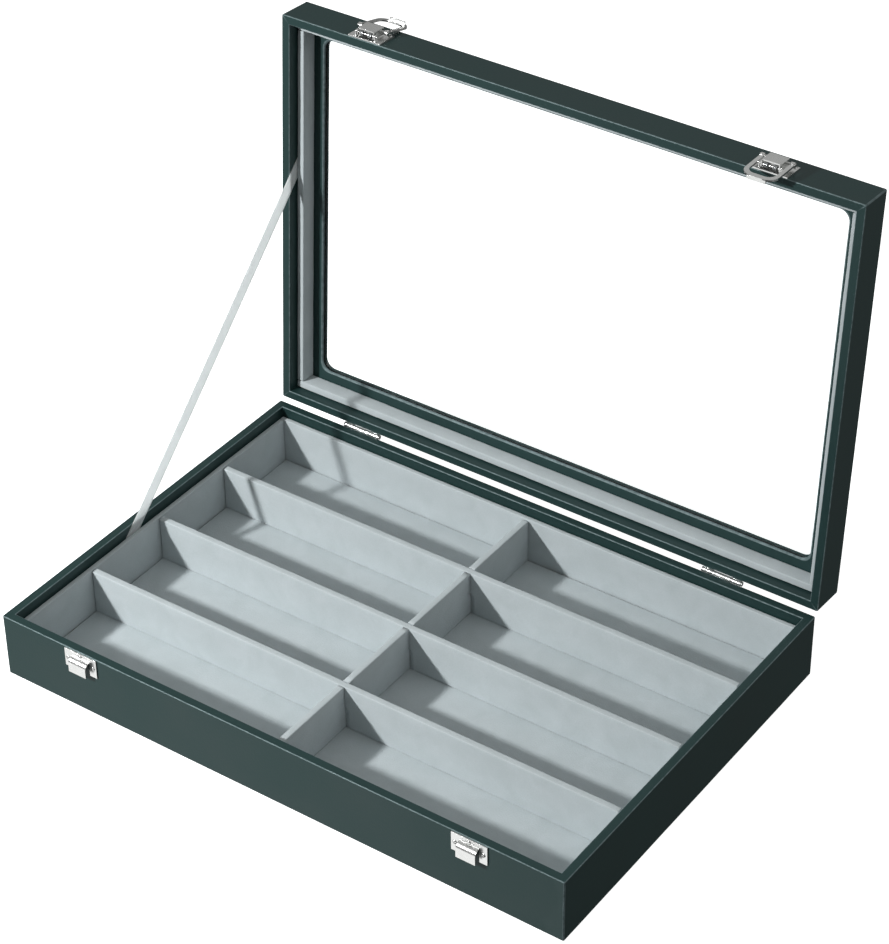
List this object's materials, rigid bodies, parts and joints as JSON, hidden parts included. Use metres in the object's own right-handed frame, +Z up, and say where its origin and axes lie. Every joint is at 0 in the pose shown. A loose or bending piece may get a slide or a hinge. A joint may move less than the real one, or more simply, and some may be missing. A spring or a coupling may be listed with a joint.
{
  "type": "glasses organizer",
  "caption": "Leather-covered display box with a hinged, glazed lid, sprung latches, a ribbon stay and a velvet-lined grid of compartments for glasses.",
  "frame": {"origin": "middle of the tray's underside, which is the face that it stands on", "axes": "+X along the width to the right, +Y from the latches to the hinges, +Z up; the lid is open at rest"},
  "size_m": [0.35, 0.2903, 0.2833],
  "materials": {
    "leather": "fine pebbled PU leather, satin",
    "velvet": "short-pile velvet, matt",
    "board": "raw fibreboard",
    "underside": "non-woven backing, matt",
    "chrome": "bright nickel plate",
    "spring_steel": "drawn wire",
    "pane": "clear acrylic",
    "ribbon": "white satin"
  },
  "bodies": {
    "base": {"base_front_board": "board", "base_rear_board": "board", "base_left_board": "board", "base_right_board": "board", "base_bottom_board": "board", "base_leather_cover": "leather", "base_underside_sheet": "underside", "base_liner_front": "velvet", "base_liner_rear": "velvet", "base_liner_left": "velvet", "base_liner_right": "velvet", "base_floor_pad": "velvet", "centre_divider": "velvet", "row_divider_rear": "velvet", "row_divider_middle": "velvet", "row_divider_front": "velvet", "hinge_base_leaf_left": "chrome", "hinge_base_leaf_right": "chrome", "hinge_pin_left": "chrome", "hinge_pin_right": "chrome", "hinge_base_screws": "chrome", "catch_plate_left": "chrome", "catch_plate_right": "chrome", "catch_screws": "chrome", "ribbon_stay": "ribbon"},
    "lid": {"lid_front_board": "board", "lid_rear_board": "board", "lid_left_board": "board", "lid_right_board": "board", "window_frame_board": "board", "window_inner_frame": "leather", "window_pane": "pane", "lid_leather_cover": "leather", "lid_liner_front": "velvet", "lid_liner_rear": "velvet", "lid_liner_left": "velvet", "lid_liner_right": "velvet", "hinge_lid_leaf_left": "chrome", "hinge_lid_leaf_right": "chrome", "hinge_lid_screws": "chrome", "latch_plate_left": "chrome", "latch_plate_right": "chrome", "latch_lever_pin_left": "chrome", "latch_lever_pin_right": "chrome", "latch_spring_left": "spring_steel", "latch_spring_right": "spring_steel", "latch_screws": "chrome"},
    "lever_left": {"latch_lever_left": "chrome"},
    "loop_pin_left": {"latch_loop_pin_left": "chrome"},
    "loop_left": {"latch_loop_left": "chrome"},
    "lever_right": {"latch_lever_right": "chrome"},
    "loop_pin_right": {"latch_loop_pin_right": "chrome"},
    "loop_right": {"latch_loop_right": "chrome"}
  },
  "joints": [
    {"name": "lid_hinge", "type": "hinge", "parent": "base", "child": "lid", "pos_m": [0, 0.1205, 0.0393], "axis": [-1, 0, 0], "range_deg": [-93.8, 0], "deforming": ["ribbon_stay"]},
    {"name": "lever_left_turn", "type": "hinge", "parent": "lid", "child": "lever_left", "pos_m": [-0.1213, 0.13964, 0.28066], "axis": [1, 0, 0], "range_deg": [0, 100], "stiffness_Nm_per_rad": 0.01},
    {"name": "loop_pin_left_level", "type": "hinge", "parent": "lever_left", "child": "loop_pin_left", "pos_m": [-0.1213, 0.14608, 0.28104], "axis": [1, 0, 0], "range_deg": [-100, 0]},
    {"name": "loop_left_swing", "type": "hinge", "parent": "loop_pin_left", "child": "loop_left", "pos_m": [-0.1213, 0.14608, 0.28104], "axis": [-1, 0, 0], "range_deg": [-193, 0]},
    {"name": "lever_right_turn", "type": "hinge", "parent": "lid", "child": "lever_right", "pos_m": [0.1213, 0.13964, 0.28066], "axis": [1, 0, 0], "range_deg": [0, 100], "stiffness_Nm_per_rad": 0.01},
    {"name": "loop_pin_right_level", "type": "hinge", "parent": "lever_right", "child": "loop_pin_right", "pos_m": [0.1213, 0.14608, 0.28104], "axis": [1, 0, 0], "range_deg": [-100, 0]},
    {"name": "loop_right_swing", "type": "hinge", "parent": "loop_pin_right", "child": "loop_right", "pos_m": [0.1213, 0.14608, 0.28104], "axis": [-1, 0, 0], "range_deg": [0, 193]}
  ],
  "couplings": [
    {"joint": "loop_pin_left_level", "follows": "lever_left_turn", "ratio": -1},
    {"joint": "loop_pin_right_level", "follows": "lever_right_turn", "ratio": -1}
  ]
}
